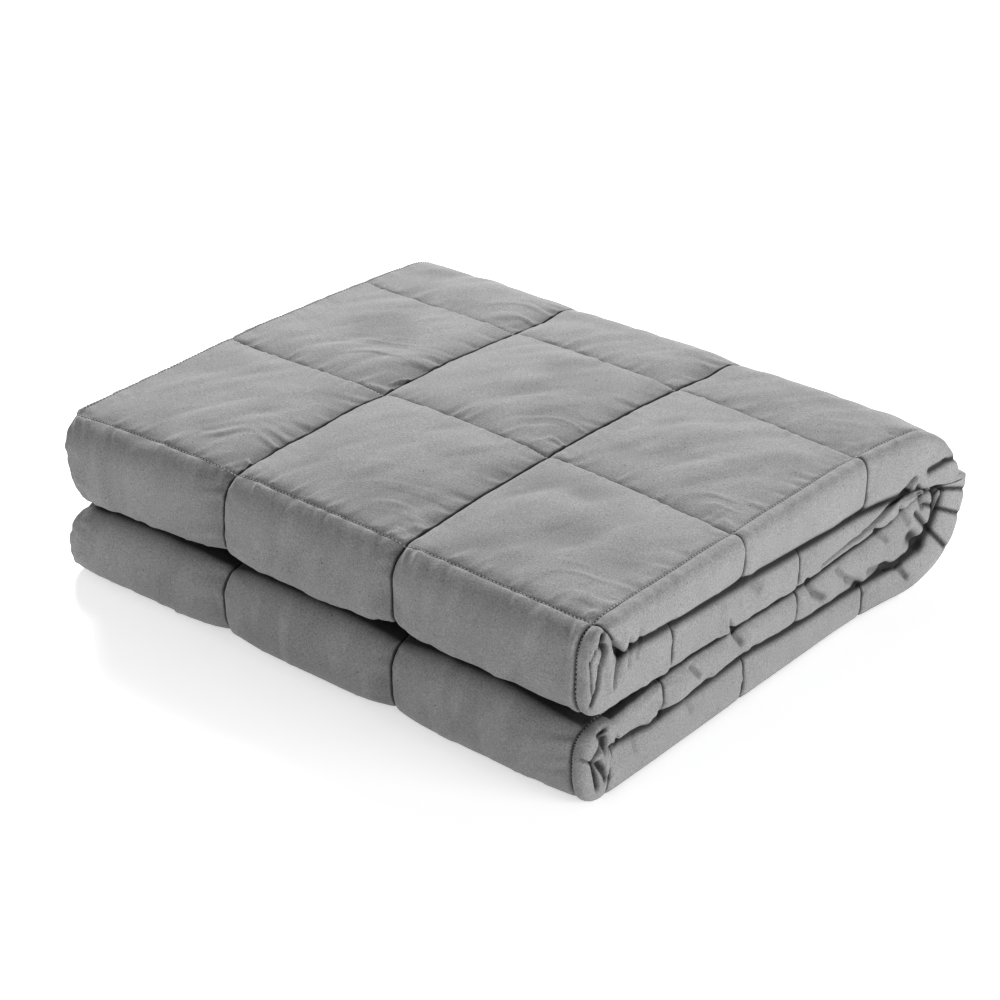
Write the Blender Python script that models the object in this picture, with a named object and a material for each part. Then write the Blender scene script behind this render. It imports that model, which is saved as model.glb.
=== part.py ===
"""A quilted weighted blanket, folded into a pack.

The blanket is one filled sheet sewn through in squares.  It is folded in
three across its width (a long flap and a short flap under the top panel) and
the strip that makes is folded back and forth into four layers: two front
bends, one large back bend, and both short edges tucked inside.

Axes: +X across the pack (along the top stitch lines), +Y from the front bends
to the back bend, +Z up.  The pack stands on z = 0, centred on the origin.
Sheet coordinates: u runs across the width and v along the length, both along
the outer skin, in metres.
"""

import math

import bmesh
import bpy
import numpy as np

# Driving dimensions, in metres
SQUARE = 0.127              # side of one sewn square
COLUMNS = 8                 # squares across the width
ROWS = 12                   # squares along the length
PANEL_COLUMNS = 3           # columns that show on top
HEM = 0.005                 # flat margin outside the outermost stitch lines

LAYER = 0.0270              # thickness of one folded layer of three plies
LAYER_GAP = 0.0006          # air between two layers
PLY_GAP = 0.0006            # air between two plies in a layer
RIM = 0.0024                # thickness of the hem along the two flaps
SWELL = 0.082               # how much higher the pack stands at its middle, as a share
SETTLE = 0.0012             # depth by which its own weight flattens the underside

GROOVE_SHOWN = 0.0050       # how far a stitch line is drawn in, outer faces
GROOVE_TUCKED = 0.0016      # the same on the flaps
GROOVE_INSIDE = 0.0008      # the same on every face turned inwards
PILLOW_EDGE = 0.14          # share of a square in which its pillow rises
PILLOW_SHOULDER = 0.10      # share of the groove left at that place

RIGHT_BEND_REACH = 0.0100   # how far the right end bend reaches sideways
LEFT_BEND_REACH = 0.0045    # the left end is a sharper fold
FRONT_BEND_REACH = 0.0245   # how far the front bends reach forwards
BACK_BEND_REACH = 0.0510    # how far the back bend reaches backwards
FLARE = 0.0190              # how far the back bend swings out at the right end
FLARE_START = 0.2286        # where it starts, behind the corner line
FLARE_RUN = 0.1270          # length over which it grows
SQUARENESS_SIDE = 2.6       # 2 is a round bend, more is squarer
SQUARENESS_FRONT = 2.8
SQUARENESS_BACK = 2.15
UPPER_BEND_Y = 0.0115       # start of the upper front bend, behind the corner line
LOWER_BEND_Y = 0.0105       # start of the lower front bend, behind the corner line
BACK_BEND_Y = 0.3005        # start of the back bend, behind the corner line
UPPER_EASE = 0.99           # the upper tuck lies a little gathered
LOWER_EASE = 1.03           # the lower tuck is pulled a little tight

RAMP = 0.034                # run in which the short flap climbs off the left bend
FILL_RUN = 0.026            # run in which two plies take the room of three
FILL_CLEARANCE = 0.003      # from the short flap's hem to that run

TIP_RUN_UPPER = 0.085       # length over which the upper short edge thins
TIP_RUN_LOWER = 0.055       # length over which the lower short edge thins
TIP_THICKNESS_UPPER = 0.0050    # thickness of a tucked layer at its short edge
TIP_THICKNESS_LOWER = 0.0110
TIP_LIFT = 0.0120           # how far the short edges curl up
LIFT_RUN = 0.090            # length over which they curl

# Heights of the lines between the layers where the filling has settled, along
# the right end: low is over the bottom layer, middle between the tucked layers
SETTLED_LINES = {
    "y": (-0.015, 0.035, 0.100, 0.155, 0.205, 0.260, 0.300),
    "low": (0.0268, 0.0322, 0.0352, 0.0322, 0.0298, 0.0277, 0.0273),
    "middle": (0.0510, 0.0572, 0.0567, 0.0553, 0.0545, 0.0555, 0.0549),
}
LEFT_FALL = {"low": 0.0030, "middle": 0.0070}   # how much lower they are at the left end
FALL_END_Y = 0.300          # the fall fades out to here

# Points of the mesh across a square, as shares of its side
POINTS_SHOWN = (0.0, PILLOW_EDGE, 0.5, 1 - PILLOW_EDGE)
POINTS_TUCKED = (0.0, 0.5)
SIDE_BEND_STEPS = 5
FRONT_BEND_STEPS = 7
BACK_BEND_STEPS = 9
CURVE_SAMPLES = 400
SAME_PLACE = 1e-9

GREY = (0.235, 0.235, 0.237, 1.0)
ROUGHNESS = 0.85
SMOOTH_ANGLE = math.radians(50)

# Worked out from the driving dimensions
HALF_LAYER = LAYER / 2
HALF_GAP = PLY_GAP / 2
PITCH = LAYER + LAYER_GAP
PLY = (LAYER - 2 * PLY_GAP) / 3
HALF_PLY = PLY / 2
PANEL = PANEL_COLUMNS * SQUARE
HALF_PANEL = PANEL / 2
WIDTH = COLUMNS * SQUARE
LENGTH = ROWS * SQUARE
PLY_SEAM = HALF_LAYER - PLY - HALF_GAP      # height of the seam between two full plies
HEM_DRAW = PLY - RIM

# Half sizes and middle of the pack, before it swells and flares
HALF_WIDTH = HALF_PANEL + RIGHT_BEND_REACH
FRONT_Y = UPPER_BEND_Y - FRONT_BEND_REACH
BACK_Y = BACK_BEND_Y + BACK_BEND_REACH
MIDDLE_Y = (FRONT_Y + BACK_Y) / 2
HALF_DEPTH = (BACK_Y - FRONT_Y) / 2

# Floor, lines between the layers, and top, before the filling settles
LINES_BEFORE = [0.0] + [n * PITCH - LAYER_GAP / 2 for n in (1, 2, 3)] + [3 * PITCH + LAYER]

# The four layers, from the floor up: heights of their outer and inner faces
LAYERS = {
    "bottom": {"outer": 0.0, "inner": LAYER},
    "lower_tuck": {"outer": PITCH + LAYER, "inner": PITCH},
    "upper_tuck": {"outer": 2 * PITCH, "inner": 2 * PITCH + LAYER},
    "top": {"outer": 3 * PITCH + LAYER, "inner": 3 * PITCH},
}


def ease(value):
    """A smooth step from 0 to 1."""
    held = np.clip(value, 0.0, 1.0)
    return held * held * (3 - 2 * held)


def blend(start, end, share):
    return start + (end - start) * share


# ------------------------------------------------------------------- bends

def bend_table(reach, half_height, squareness):
    """Points round a squarish half turn, from its lower to its upper end."""
    angles = np.linspace(0.0, math.pi, CURVE_SAMPLES)
    power = 2 / squareness
    across = reach * np.abs(np.sin(angles)) ** power
    rise = -half_height * np.sign(np.cos(angles)) * np.abs(np.cos(angles)) ** power
    steps = np.hypot(np.diff(across), np.diff(rise))
    return {
        "angle": angles,
        "across": across,
        "rise": rise,
        "length": np.concatenate([[0.0], np.cumsum(steps)]),
    }


def on_bend(table, along, column):
    return float(np.interp(along, table["length"], table[column]))


RIGHT_BEND = bend_table(RIGHT_BEND_REACH, HALF_LAYER, SQUARENESS_SIDE)
LEFT_BEND = bend_table(LEFT_BEND_REACH, HALF_LAYER, SQUARENESS_SIDE)
FRONT_BEND = bend_table(FRONT_BEND_REACH, LAYER + LAYER_GAP / 2, SQUARENESS_FRONT)
BACK_BEND = bend_table(BACK_BEND_REACH, 2 * PITCH - LAYER_GAP / 2, SQUARENESS_BACK)
RIGHT_ARC = float(RIGHT_BEND["length"][-1])
LEFT_ARC = float(LEFT_BEND["length"][-1])
FRONT_ARC = float(FRONT_BEND["length"][-1])
BACK_ARC = float(BACK_BEND["length"][-1])

# Across the sheet: long flap, right bend, top panel, left bend, short flap
RIGHT_BEND_END = PANEL
RIGHT_BEND_START = RIGHT_BEND_END - RIGHT_ARC
LEFT_BEND_START = RIGHT_BEND_END + PANEL
LEFT_BEND_END = LEFT_BEND_START + LEFT_ARC
RAMP_END_X = -HALF_PANEL + RAMP
FILL_START_X = -HALF_PANEL + WIDTH + HEM - LEFT_BEND_END + FILL_CLEARANCE
FILL_END_X = FILL_START_X + FILL_RUN

# Along the sheet: the corner line is the stitch line at y = 0 on the top front
# edge, and it lies a little before the end of the upper front bend.
CORNER_LINE = 3 * SQUARE
UPPER_HALF = CURVE_SAMPLES // 2
CORNER_TO_TOP = FRONT_ARC - float(np.interp(
    -UPPER_BEND_Y, -FRONT_BEND["across"][UPPER_HALF:], FRONT_BEND["length"][UPPER_HALF:]))
UPPER_BEND_END = CORNER_LINE + CORNER_TO_TOP
UPPER_BEND_START = UPPER_BEND_END - FRONT_ARC
BACK_BEND_START = UPPER_BEND_END + BACK_BEND_Y - UPPER_BEND_Y
BACK_BEND_END = BACK_BEND_START + BACK_ARC
LOWER_BEND_START = BACK_BEND_END + BACK_BEND_Y - LOWER_BEND_Y
LOWER_BEND_END = LOWER_BEND_START + FRONT_ARC
UPPER_TIP_Y = UPPER_BEND_Y + (UPPER_BEND_START + HEM) * UPPER_EASE
LOWER_TIP_Y = LOWER_BEND_Y + (LENGTH + HEM - LOWER_BEND_END) * LOWER_EASE


# ------------------------------------------------------------ stitch lines

def groove(along):
    """1 on a stitch line, falling to 0 in the middle of a square."""
    place = (along / SQUARE) % 1.0
    edge = min(place, 1.0 - place)
    if edge < PILLOW_EDGE:
        return blend(1.0, PILLOW_SHOULDER, edge / PILLOW_EDGE)
    return PILLOW_SHOULDER * (1 - ease((edge - PILLOW_EDGE) / (0.5 - PILLOW_EDGE)))


def drawn_in(u, v):
    """How strongly the sewing pulls a point in, from 0 to 1."""
    across = groove(u) if 0 < u < WIDTH else 1.0
    along = groove(v) if 0 < v < LENGTH else 1.0
    return 1 - (1 - across) * (1 - along)


def groove_depths(u, v):
    """Depths by which the outer and the inner face of a ply are drawn in."""
    pull = drawn_in(u, v)
    from_flap = ease((u - RIGHT_BEND_START + LAYER) / LAYER)
    to_flap = ease((u - LEFT_BEND_END) / RAMP)
    skin = pull * blend(GROOVE_TUCKED, GROOVE_SHOWN, from_flap * (1 - to_flap))
    lining = pull * GROOVE_INSIDE
    if u <= 0 or u >= WIDTH:
        return HEM_DRAW / 2, HEM_DRAW / 2
    return skin, lining


# ---------------------------------------------------------- folded in three

def seam_heights(x):
    """Heights, in the layer, of the seams under the top ply and over the long flap."""
    climb = np.clip((x + HALF_PANEL) / RAMP, 0.0, 1.0)
    fill = np.clip((x - FILL_START_X) / FILL_RUN, 0.0, 1.0)
    under_top = PLY_SEAM * climb * (1 - fill)
    over_flap = -PLY_SEAM * (1 - fill)
    return float(under_top), float(over_flap)


def side_bend(table, side, along, depth, lining):
    """Outer and inner point on the right (+1) or left (-1) end bend."""
    across = on_bend(table, along, "across")
    rise = on_bend(table, along, "rise")
    skin_scale = 1 - depth / HALF_LAYER
    lining_scale = (HALF_GAP + lining) / HALF_LAYER
    return [(side * (HALF_PANEL + across * scale), rise * scale)
            for scale in (skin_scale, lining_scale)]


def ply_faces(u, v):
    """Outer and inner point (x, h) of the ply; h is the height in the layer."""
    depth, lining = groove_depths(u, v)
    if u < RIGHT_BEND_START:
        x = HALF_PANEL - (RIGHT_BEND_START - u)
        seam = seam_heights(x)[1]
        return (x, -HALF_LAYER + depth), (x, seam - HALF_GAP - lining)
    if u < RIGHT_BEND_END:
        return side_bend(RIGHT_BEND, 1, u - RIGHT_BEND_START, depth, lining)
    if u < LEFT_BEND_START:
        x = HALF_PANEL - (u - RIGHT_BEND_END)
        seam = seam_heights(x)[0]
        return (x, HALF_LAYER - depth), (x, seam + HALF_GAP + lining)
    if u < LEFT_BEND_END:
        return side_bend(LEFT_BEND, -1, LEFT_BEND_END - u, depth, lining)
    x = -HALF_PANEL + (u - LEFT_BEND_END)
    seam = seam_heights(x)[0]
    climb = float(np.clip((x + HALF_PANEL) / RAMP, 0.0, 1.0))
    skin = blend(-HALF_LAYER, -HALF_PLY, climb)
    return (x, skin + depth), (x, seam - HALF_GAP - lining)


# ---------------------------------------------------- folded back and forth

def tip_thinning(y, tip_y, run):
    """0 away from a short edge, rising along a quarter round to 1 at its tip."""
    place = float(np.clip((y - tip_y + run) / run, 0.0, 1.0))
    return 1 - math.sqrt(1 - place ** 2)


def lower_tuck_faces(y):
    """Outer and inner face heights of the lower tucked layer."""
    layer = LAYERS["lower_tuck"]
    outer = layer["outer"] + TIP_LIFT * ease((y - LOWER_TIP_Y + LIFT_RUN) / LIFT_RUN)
    thin = tip_thinning(y, LOWER_TIP_Y, TIP_RUN_LOWER)
    return outer, blend(layer["inner"], outer - TIP_THICKNESS_LOWER, thin)


def upper_tuck_faces(y):
    """Outer and inner face heights of the upper tucked layer."""
    outer = lower_tuck_faces(y)[0] + LAYER_GAP
    thin = tip_thinning(y, UPPER_TIP_Y, TIP_RUN_UPPER)
    return outer, blend(LAYERS["upper_tuck"]["inner"], outer + TIP_THICKNESS_UPPER, thin)


def round_bend(table, along, centre, inner_radius, share):
    """A point on a front or back bend; share runs from its inner to its outer face."""
    angle = on_bend(table, along, "angle")
    across = blend(inner_radius * math.sin(angle), on_bend(table, along, "across"), share)
    rise = blend(-inner_radius * math.cos(angle), on_bend(table, along, "rise"), share)
    return across, centre + rise


def layer_point(v, height):
    """Point (y, z) of the folded strip at v, at a height in its layer."""
    share = (height + HALF_LAYER) / LAYER
    if v < UPPER_BEND_START:
        y = UPPER_BEND_Y + (UPPER_BEND_START - v) * UPPER_EASE
        outer, inner = upper_tuck_faces(y)
    elif v < UPPER_BEND_END:
        across, z = round_bend(FRONT_BEND, v - UPPER_BEND_START,
                               3 * PITCH - LAYER_GAP / 2, LAYER_GAP / 2, share)
        return UPPER_BEND_Y - across, z
    elif v < BACK_BEND_START:
        y = UPPER_BEND_Y + v - UPPER_BEND_END
        outer, inner = LAYERS["top"]["outer"], LAYERS["top"]["inner"]
    elif v < BACK_BEND_END:
        across, z = round_bend(BACK_BEND, BACK_BEND_END - v,
                               2 * PITCH - LAYER_GAP / 2, PITCH - LAYER_GAP / 2, share)
        return BACK_BEND_Y + across, z
    elif v < LOWER_BEND_START:
        y = BACK_BEND_Y - (v - BACK_BEND_END)
        outer, inner = LAYERS["bottom"]["outer"], LAYERS["bottom"]["inner"]
    elif v < LOWER_BEND_END:
        across, z = round_bend(FRONT_BEND, v - LOWER_BEND_START,
                               PITCH - LAYER_GAP / 2, LAYER_GAP / 2, share)
        return LOWER_BEND_Y - across, z
    else:
        y = LOWER_BEND_Y + (v - LOWER_BEND_END) * LOWER_EASE
        outer, inner = lower_tuck_faces(y)
    return y, blend(inner, outer, share)


def settled_height(x, y, z):
    """Height after the filling has settled and moved the lines between the layers."""
    leftness = float(np.clip((HALF_PANEL - x) / PANEL, 0.0, 1.0))
    fall = leftness * float(np.clip((FALL_END_Y - y) / FALL_END_Y, 0.0, 1.0))
    low, middle = [np.interp(y, SETTLED_LINES["y"], SETTLED_LINES[line]) - LEFT_FALL[line] * fall
                   for line in ("low", "middle")]
    return np.interp(z, LINES_BEFORE, (0.0, low, middle, LINES_BEFORE[3], LINES_BEFORE[4]))


def in_pack(x, y, z):
    """The point in the settled pack, swelled at its middle and flared at its back end."""
    z = settled_height(x, y, z)
    across = np.clip(x / HALF_WIDTH, -1.0, 1.0)
    along = np.clip((y - MIDDLE_Y) / HALF_DEPTH, -1.0, 1.0)
    swelled = z * (1 + SWELL * (1 - across ** 2) * (1 - along ** 2))
    rightness = np.clip(x / HALF_PANEL, 0.0, 1.0)
    flare = FLARE * rightness * np.clip((y - FLARE_START) / FLARE_RUN, 0.0, 1.0) ** 2
    return float(x + flare), float(y), float(swelled)


# ----------------------------------------------------------------- the mesh

def on_stitch_line(place):
    share = (place / SQUARE) % 1.0
    return min(share, 1.0 - share) < SAME_PLACE / SQUARE


def stations(squares, points_of_square, knees, bends):
    """Places along one side of the sheet where the mesh has a line of points.

    A bend, given as (start, end, steps), has its own even steps in place of
    the points inside it; the stitch lines always stay.
    """
    places = [-HEM, squares * SQUARE, squares * SQUARE + HEM] + knees
    for index in range(squares):
        places += [(index + part) * SQUARE for part in points_of_square(index)]
    for start, end, steps in bends:
        clear = 0.4 * (end - start) / steps
        places = [place for place in places
                  if place < start - clear or place > end + clear or on_stitch_line(place)]
        for step in range(steps + 1):
            place = blend(start, end, step / steps)
            if all(abs(place - other) > clear for other in places):
                places.append(place)
    return sorted(places)


def across_points(index):
    shown = PANEL_COLUMNS <= index < 2 * PANEL_COLUMNS
    return POINTS_SHOWN if shown else POINTS_TUCKED


def along_points(_index):
    return POINTS_SHOWN


def stations_across():
    """Lines of points across the sheet, with one at each knee of its plies."""
    on_top = [RIGHT_BEND_END + HALF_PANEL - x for x in (RAMP_END_X, FILL_START_X, FILL_END_X)]
    on_long_flap = [RIGHT_BEND_START - HALF_PANEL + x for x in (FILL_START_X, FILL_END_X)]
    on_short_flap = [LEFT_BEND_END + HALF_PANEL + RAMP_END_X]
    pillow_edges = [PILLOW_EDGE * SQUARE, WIDTH - PILLOW_EDGE * SQUARE]
    return stations(COLUMNS, across_points,
                    on_top + on_long_flap + on_short_flap + pillow_edges,
                    [(RIGHT_BEND_START, RIGHT_BEND_END, SIDE_BEND_STEPS),
                     (LEFT_BEND_START, LEFT_BEND_END, SIDE_BEND_STEPS)])


def stations_along():
    return stations(ROWS, along_points, [],
                    [(UPPER_BEND_START, UPPER_BEND_END, FRONT_BEND_STEPS),
                     (BACK_BEND_START, BACK_BEND_END, BACK_BEND_STEPS),
                     (LOWER_BEND_START, LOWER_BEND_END, FRONT_BEND_STEPS)])


def folded_grids():
    """Points of the blanket's outer and inner face, as an array of shape
    (2, rows, columns, 3), centred over the origin and standing on z = 0."""
    grids = []
    for face in (0, 1):
        rows = []
        for v in stations_along():
            faces = [ply_faces(u, v)[face] for u in stations_across()]
            rows.append([in_pack(x, *layer_point(v, height)) for x, height in faces])
        grids.append(rows)
    points = np.array(grids)
    low = points.min(axis=(0, 1, 2))
    high = points.max(axis=(0, 1, 2))
    points[..., :2] -= (low[:2] + high[:2]) / 2
    points[..., 2] = np.maximum(points[..., 2] - SETTLE, 0.0)
    return points


def add_strip(mesh, lower, upper, flip):
    """A strip of faces between two lines of points."""
    for index in range(len(lower) - 1):
        corners = [lower[index], lower[index + 1], upper[index + 1], upper[index]]
        mesh.faces.new(corners[::-1] if flip else corners)


def build_blanket():
    """The folded blanket as one closed body: two faces and the hem around them."""
    mesh = bmesh.new()
    outer, inner = [[[mesh.verts.new(point) for point in row] for row in grid]
                    for grid in folded_grids()]
    for grid, flip in ((outer, True), (inner, False)):
        for lower, upper in zip(grid, grid[1:]):
            add_strip(mesh, lower, upper, flip)
    add_strip(mesh, outer[0], inner[0], False)
    add_strip(mesh, outer[-1], inner[-1], True)
    for column, flip in ((0, True), (-1, False)):
        add_strip(mesh, [row[column] for row in outer], [row[column] for row in inner], flip)
    bmesh.ops.recalc_face_normals(mesh, faces=mesh.faces)
    data = bpy.data.meshes.new("blanket")
    mesh.to_mesh(data)
    mesh.free()
    data.shade_smooth()
    data.set_sharp_from_angle(angle=SMOOTH_ANGLE)
    blanket = bpy.data.objects.new("blanket", data)
    bpy.context.scene.collection.objects.link(blanket)
    return blanket


def grey_cloth():
    material = bpy.data.materials.new("grey_cloth")
    material.use_nodes = True
    shader = material.node_tree.nodes["Principled BSDF"]
    shader.inputs["Base Color"].default_value = GREY
    shader.inputs["Roughness"].default_value = ROUGHNESS
    shader.inputs["Metallic"].default_value = 0.0
    return material


def main():
    for item in list(bpy.data.objects):
        bpy.data.objects.remove(item)
    blanket = build_blanket()
    blanket.data.materials.append(grey_cloth())


main()
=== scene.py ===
"""Looks of the folded weighted blanket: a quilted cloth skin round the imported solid.

Sheet coordinates u (across the width) and v (along the length) run along the
outer skin in metres, as in the part's own source, and nearly the same fold
carries them into the pack.  The cloth is made in rows of squares, each a
closed, filled channel that meets the next one on a stitch line.
"""

import math

import bmesh
import bpy
import numpy as np
from mathutils import Matrix, Vector


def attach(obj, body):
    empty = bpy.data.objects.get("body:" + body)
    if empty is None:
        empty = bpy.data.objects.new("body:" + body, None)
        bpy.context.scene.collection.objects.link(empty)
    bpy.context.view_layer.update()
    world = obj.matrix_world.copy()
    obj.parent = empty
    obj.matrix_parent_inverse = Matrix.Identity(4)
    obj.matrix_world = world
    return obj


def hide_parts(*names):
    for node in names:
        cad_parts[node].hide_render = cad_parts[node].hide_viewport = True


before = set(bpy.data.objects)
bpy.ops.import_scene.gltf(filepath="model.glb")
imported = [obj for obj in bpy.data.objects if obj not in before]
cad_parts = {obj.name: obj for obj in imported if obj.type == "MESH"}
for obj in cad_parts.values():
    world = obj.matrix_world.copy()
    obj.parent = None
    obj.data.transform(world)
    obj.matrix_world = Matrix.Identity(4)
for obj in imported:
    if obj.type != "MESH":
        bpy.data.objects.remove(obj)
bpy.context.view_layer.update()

MM = 0.001

# ------------------------------------------------ the fold, as in the part's source
SQUARE = 0.127
COLUMNS = 8
ROWS = 12
PANEL_COLUMNS = 3
HEM = 0.005
LAYER = 0.0270
LAYER_GAP = 0.0006
PLY_GAP = 0.0006
RIM = 0.0024
SWELL = 0.082
SETTLE = 0.0012
RIGHT_BEND_REACH = 0.0100
LEFT_BEND_REACH = 0.0045
FRONT_BEND_REACH = 0.0245
BACK_BEND_REACH = 0.0510
FLARE = 0.0190
FLARE_START = 0.2286
FLARE_RUN = 0.1270
SQUARENESS_SIDE = 2.6
SQUARENESS_END = 3.3        # the strips at the right end are flatter than the solid's
SQUARENESS_FRONT = 2.8
SQUARENESS_UNDER = 4.0      # the upper front bend hangs down a little to the lower one
SQUARENESS_BACK = 2.15
UPPER_BEND_Y = 0.0115
LOWER_BEND_Y = 0.0105
BACK_BEND_Y = 0.3005
RAMP = 0.034
FILL_RUN = 0.026
FILL_CLEARANCE = 0.003
CENTRE_X = 0.009498         # middle of the pack's box, from the fold's own origin
CENTRE_Y = 0.167915

HALF_LAYER = LAYER / 2
HALF_GAP = PLY_GAP / 2
PITCH = LAYER + LAYER_GAP
PLY = (LAYER - 2 * PLY_GAP) / 3
HALF_PLY = PLY / 2
PANEL = PANEL_COLUMNS * SQUARE
HALF_PANEL = PANEL / 2
WIDTH = COLUMNS * SQUARE
LENGTH = ROWS * SQUARE
PLY_SEAM = HALF_LAYER - PLY - HALF_GAP
HEM_DRAW = PLY - RIM
CURVE_SAMPLES = 400
STACK_TOP = 3 * PITCH + LAYER

# Lengths of the tucked layers and the tip of the lower one, which reaches a little
# further than the solid's and ends thinner
UPPER_EASE = 0.99
LOWER_EASE = 1.045
TIP_RUN_LOWER = 0.042
TIP_THICKNESS = 0.0090
LEAST_LAYER = 0.0018

# Heights of the lines between the layers: low is over the bottom layer, middle
# between the tucked layers, high under the top layer
INSIDE_LINES = {
    "y": (-0.015, 0.035, 0.100, 0.155, 0.205, 0.260, 0.292, 0.322),
    "low": (0.0268, 0.0322, 0.0352, 0.0322, 0.0298, 0.0277, 0.0273, 0.0273),
    "middle": (0.0548, 0.0592, 0.0572, 0.0553, 0.0545, 0.0575, 0.0640, 0.0668),
    "high": (0.0822, 0.0822, 0.0822, 0.0822, 0.0822, 0.0810, 0.0780, 0.0780),
}
END_LINES = {
    "y": (-0.020, 0.013, 0.045, 0.082, 0.143, 0.170, 0.208, 0.254, 0.285, 0.298, 0.307,
          0.320, 0.360),
    "low": (0.0268, 0.0345, 0.0298, 0.0310, 0.0319, 0.0285, 0.0260, 0.0245, 0.0250, 0.0258,
            0.0270, 0.0280, 0.0280),
    "middle": (0.0512, 0.0514, 0.0522, 0.0530, 0.0515, 0.0505, 0.0502, 0.0535, 0.0575, 0.0650,
               0.0678, 0.0685, 0.0690),
    "high": (0.0870, 0.0885, 0.0862, 0.0835, 0.0808, 0.0790, 0.0768, 0.0750, 0.0725, 0.0715,
             0.0718, 0.0728, 0.0735),
}
END_RUN = 0.060             # how far in from the right end its own lines reach
LEFT_FALL = {"low": 0.0030, "middle": 0.0048, "high": 0.0}
FALL_END_Y = 0.300
GROOVE_OPEN = 0.0013        # half the gap between the two front bends
GROOVE_OPEN_END = 0.0030    # the same at the right end
OPEN_RUN = 0.066

# How the left end leans: shifts along x by height, and of the top by the place along
# the side, in mm
LEFT_LEAN = {"z": (0.0, 0.020, 0.036, 0.052, 0.058, 0.068, 0.081, 0.095, 0.110),
             "x": (-1.0, 0.0, 2.5, 8.0, 8.0, 5.0, 1.0, -1.0, -4.5)}
LEFT_RISE = {"y": (-0.013, 0.0, 0.020, 0.045, 0.075, 0.110, 0.150, 0.254, 0.300, 0.350),
             "z": (-6.2, -5.6, -4.2, -2.4, -0.4, 1.7, 3.0, 3.0, 1.2, 0.0)}
LEAN_RUN = 0.10

# ---------------------------------------------------------------- the quilting
CROWN = 1.2 * MM            # how far the squares rise over the solid's
DRAW_HIDDEN = 1.8 * MM      # depth of the stitch lines on the hidden faces
SLOT_WIDTH = 1.0 * MM       # of the narrow slot in a deep lengthways line
SLOT_DEPTH = 4.2 * MM
ROLL_WIDTH = 6 * MM         # of the cloth that rolls over into that line from the right
ROLL_DEPTH = 5.4 * MM
TOP_ROLL_WIDTH = 3.5 * MM   # the same in front of the lines across the top
TOP_ROLL_DEPTH = 2.0 * MM
WAVE_REACH = 12 * MM        # how far from a line its waver is felt

# How far the stitch lines draw the cloth in: depths, and the runs in which each of
# them fades away from the line, in mm
DRAWN_IN = {
    "deep_left": ((4.0, 15),),
    "deep_right": ((2.6, 17),),
    "top_behind": ((2.6, 13), (1.0, 1.0)),
    "top_front": ((1.6, 14),),
    "flush": ((2.0, 14), (0.9, 0.9)),
    "plain": ((1.2, 10), (1.3, 1.2)),
    "right_end": ((1.9, 0.9), (0.9, 5)),
}
GREY = (0.235, 0.235, 0.237)


def ease(value):
    held = np.clip(value, 0.0, 1.0)
    return held * held * (3 - 2 * held)


def blend(start, end, share):
    return start + (end - start) * share


# ------------------------------------------------------------------------ bends

def bend_table(reach, half_height, lower_squareness, upper_squareness):
    angles = np.linspace(0.0, math.pi, CURVE_SAMPLES)
    power = 2 / np.where(angles < math.pi / 2, lower_squareness, upper_squareness)
    across = reach * np.abs(np.sin(angles)) ** power
    rise = -half_height * np.sign(np.cos(angles)) * np.abs(np.cos(angles)) ** power
    steps = np.hypot(np.diff(across), np.diff(rise))
    return {
        "angle": angles,
        "across": across,
        "rise": rise,
        "length": np.concatenate([[0.0], np.cumsum(steps)]),
    }


def on_bend(table, along, column):
    return np.interp(along, table["length"], table[column])


RIGHT_BEND = bend_table(RIGHT_BEND_REACH, HALF_LAYER, SQUARENESS_END, SQUARENESS_END)
LEFT_BEND = bend_table(LEFT_BEND_REACH, HALF_LAYER, SQUARENESS_SIDE, SQUARENESS_SIDE)
UPPER_BEND = bend_table(FRONT_BEND_REACH, LAYER + LAYER_GAP / 2, SQUARENESS_UNDER,
                        SQUARENESS_FRONT)
LOWER_BEND = bend_table(FRONT_BEND_REACH, LAYER + LAYER_GAP / 2, SQUARENESS_FRONT,
                        SQUARENESS_FRONT)
BACK_BEND = bend_table(BACK_BEND_REACH, 2 * PITCH - LAYER_GAP / 2, SQUARENESS_BACK,
                       SQUARENESS_BACK)
RIGHT_ARC = float(RIGHT_BEND["length"][-1])
LEFT_ARC = float(LEFT_BEND["length"][-1])
UPPER_ARC = float(UPPER_BEND["length"][-1])
LOWER_ARC = float(LOWER_BEND["length"][-1])
BACK_ARC = float(BACK_BEND["length"][-1])

RIGHT_BEND_END = PANEL
RIGHT_BEND_START = RIGHT_BEND_END - RIGHT_ARC
LEFT_BEND_START = RIGHT_BEND_END + PANEL
LEFT_BEND_END = LEFT_BEND_START + LEFT_ARC
FILL_START_X = -HALF_PANEL + WIDTH + HEM - LEFT_BEND_END + FILL_CLEARANCE

CORNER_LINE = 3 * SQUARE
UPPER_HALF = CURVE_SAMPLES // 2
CORNER_TO_TOP = UPPER_ARC - float(np.interp(
    -UPPER_BEND_Y, -UPPER_BEND["across"][UPPER_HALF:], UPPER_BEND["length"][UPPER_HALF:]))
UPPER_BEND_END = CORNER_LINE + CORNER_TO_TOP
UPPER_BEND_START = UPPER_BEND_END - UPPER_ARC
BACK_BEND_START = UPPER_BEND_END + BACK_BEND_Y - UPPER_BEND_Y
BACK_BEND_END = BACK_BEND_START + BACK_ARC
LOWER_BEND_START = BACK_BEND_END + BACK_BEND_Y - LOWER_BEND_Y
LOWER_BEND_END = LOWER_BEND_START + LOWER_ARC
LOWER_TIP_Y = LOWER_BEND_Y + (LENGTH + HEM - LOWER_BEND_END) * LOWER_EASE

HALF_WIDTH = HALF_PANEL + RIGHT_BEND_REACH
FRONT_Y = UPPER_BEND_Y - FRONT_BEND_REACH
BACK_Y = BACK_BEND_Y + BACK_BEND_REACH
MIDDLE_Y = (FRONT_Y + BACK_Y) / 2
HALF_DEPTH = (BACK_Y - FRONT_Y) / 2


# ----------------------------------------------------------- folded in three

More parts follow.
